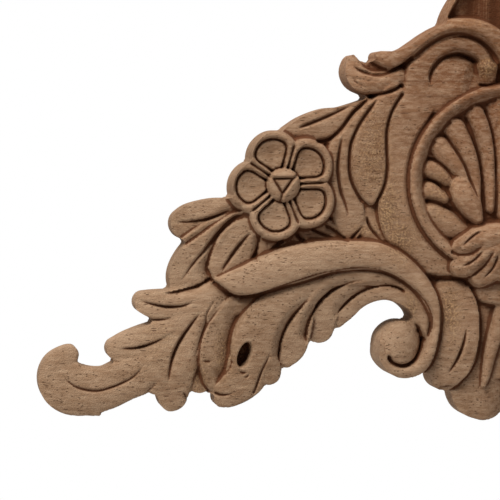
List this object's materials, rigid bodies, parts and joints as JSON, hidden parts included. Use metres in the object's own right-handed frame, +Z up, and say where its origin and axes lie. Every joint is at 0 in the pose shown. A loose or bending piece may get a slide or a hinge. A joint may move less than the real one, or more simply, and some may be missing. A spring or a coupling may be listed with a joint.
{
  "type": "carved corner onlay",
  "caption": "Carved wooden corner onlay: a ringed shell under a pointed crest, flowers and leaf scrolls sweeping down both sides, flat back for fixing to furniture.",
  "frame": {"origin": "on the flat back face, where the line of symmetry crosses the middle of the shell's ring", "axes": "+X to the viewer's right along the arms, -Y out of the carved front towards the viewer, +Y out of the flat back, +Z up to the crest"},
  "size_m": [0.3004, 0.0195, 0.1505],
  "materials": {
    "carved_wood": "raw sanded wood, matt, open pores"
  },
  "bodies": {
    "root": {"corner_onlay": "carved_wood"}
  },
  "joints": []
}
